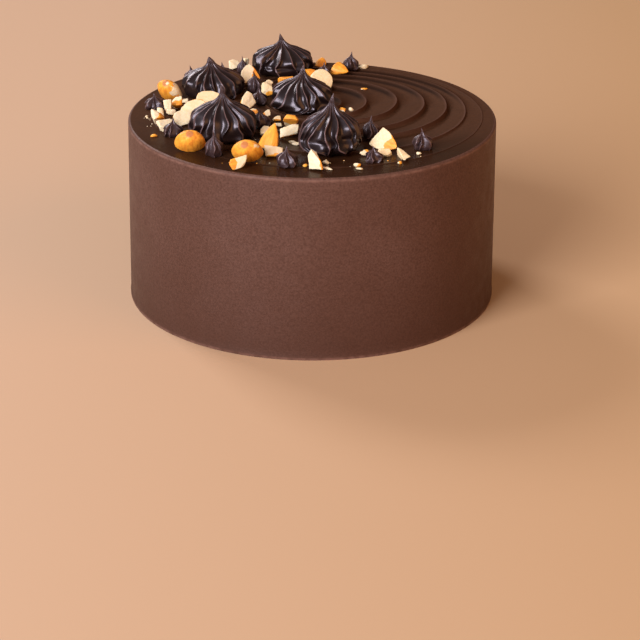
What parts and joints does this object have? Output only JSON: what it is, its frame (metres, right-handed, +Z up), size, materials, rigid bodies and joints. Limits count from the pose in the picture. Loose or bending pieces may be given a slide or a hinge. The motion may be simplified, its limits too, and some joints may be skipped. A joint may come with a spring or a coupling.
{
  "type": "chocolate almond cake",
  "caption": "Whole round cake under dark chocolate ganache, its top combed in curved ridges and set with piped ganache dollops and chopped almonds.",
  "frame": {"origin": "centre of the cake's flat underside", "axes": "+Z up; -Y towards the side that the picture shows"},
  "size_m": [0.164, 0.164, 0.1065],
  "materials": {
    "ganache": "satin chocolate ganache",
    "piped_ganache": "glossy piped chocolate ganache",
    "almond": "almond skin and cut almond flesh"
  },
  "bodies": {
    "root": {"cake": "ganache", "large_dollop_1": "piped_ganache", "large_dollop_2": "piped_ganache", "large_dollop_3": "piped_ganache", "large_dollop_4": "piped_ganache", "large_dollop_5": "piped_ganache", "small_dollop_01": "piped_ganache", "small_dollop_02": "piped_ganache", "small_dollop_03": "piped_ganache", "small_dollop_04": "piped_ganache", "small_dollop_05": "piped_ganache", "small_dollop_06": "piped_ganache", "small_dollop_07": "piped_ganache", "small_dollop_08": "piped_ganache", "small_dollop_09": "piped_ganache", "small_dollop_10": "piped_ganache", "small_dollop_11": "piped_ganache", "small_dollop_12": "piped_ganache", "small_dollop_13": "piped_ganache", "small_dollop_14": "piped_ganache", "small_dollop_15": "piped_ganache", "almond_01": "almond", "almond_02": "almond", "almond_03": "almond", "almond_04": "almond", "almond_05": "almond", "almond_06": "almond", "almond_07": "almond", "almond_08": "almond", "almond_09": "almond", "almond_10": "almond", "almond_11": "almond", "almond_12": "almond", "almond_13": "almond", "almond_14": "almond", "almond_15": "almond", "almond_16": "almond", "almond_17": "almond", "almond_18": "almond", "almond_19": "almond", "almond_20": "almond", "almond_21": "almond", "almond_22": "almond", "almond_23": "almond", "almond_24": "almond", "almond_25": "almond", "almond_26": "almond", "almond_27": "almond", "almond_28": "almond", "almond_29": "almond", "almond_30": "almond", "almond_31": "almond", "almond_32": "almond", "almond_33": "almond", "almond_34": "almond", "almond_35": "almond", "almond_36": "almond", "almond_37": "almond", "almond_38": "almond", "almond_39": "almond"}
  },
  "joints": []
}
